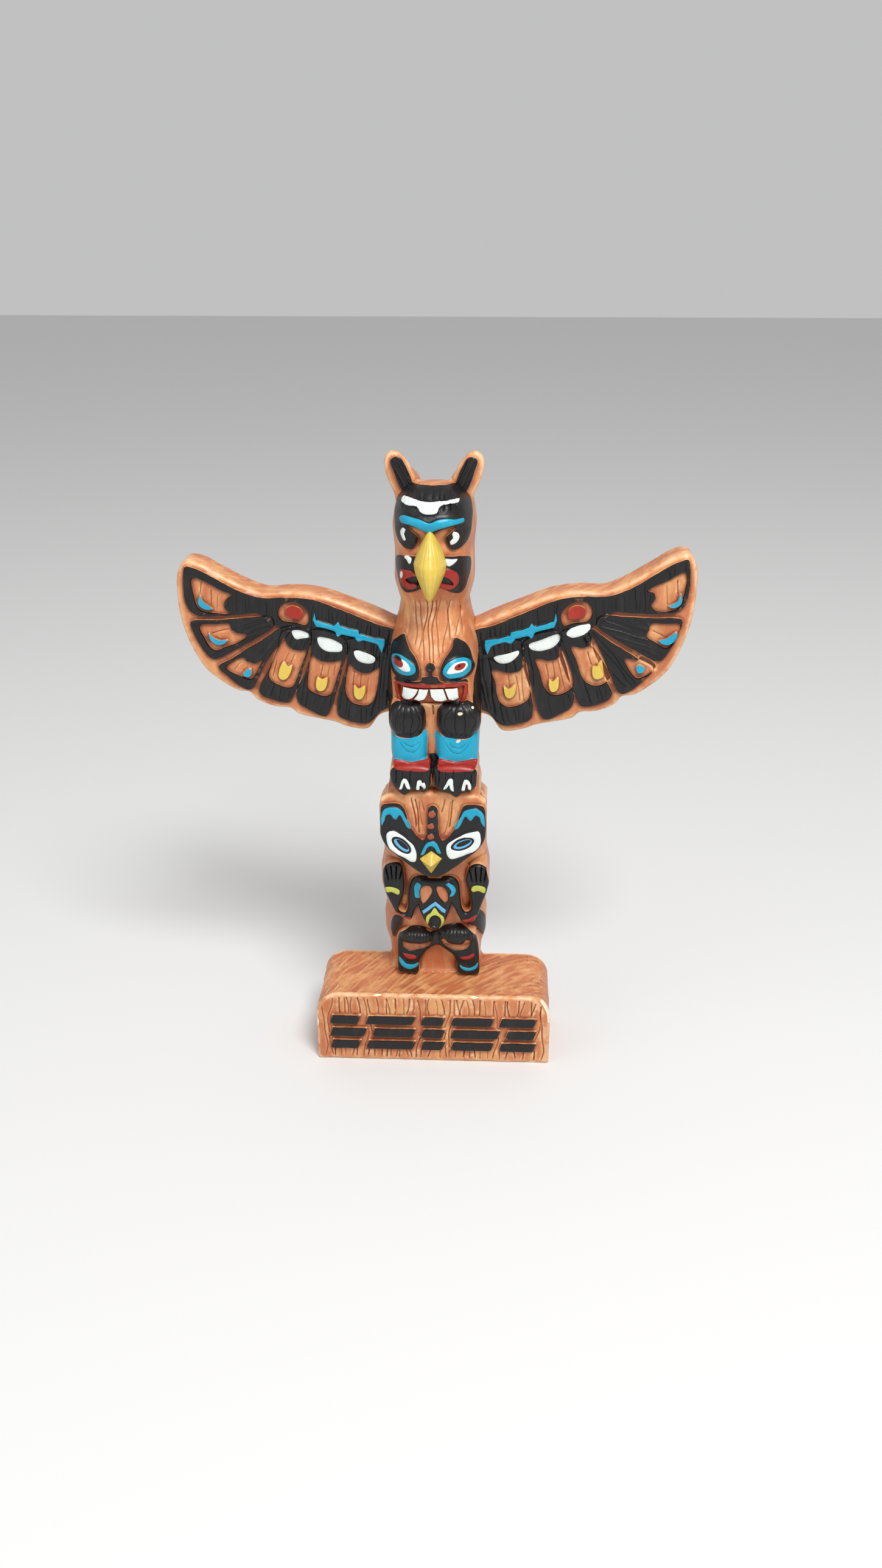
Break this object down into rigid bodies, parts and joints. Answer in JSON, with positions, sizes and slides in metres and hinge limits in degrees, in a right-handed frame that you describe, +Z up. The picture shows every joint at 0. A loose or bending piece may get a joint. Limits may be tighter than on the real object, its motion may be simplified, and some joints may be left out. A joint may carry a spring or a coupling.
{
  "type": "totem pole",
  "caption": "Small carved-look totem pole ornament with stacked animal figures, spread wings and an oblong base it stands on.",
  "frame": {"origin": "centre of the flat underside of the base", "axes": "+Z up along the pole, +X to the viewer's right along the wings, front towards -Y, flat back towards +Y"},
  "size_m": [0.158, 0.0344, 0.2004],
  "materials": {
    "painted_resin": "satin"
  },
  "bodies": {
    "root": {"totem_pole": "painted_resin"}
  },
  "joints": []
}
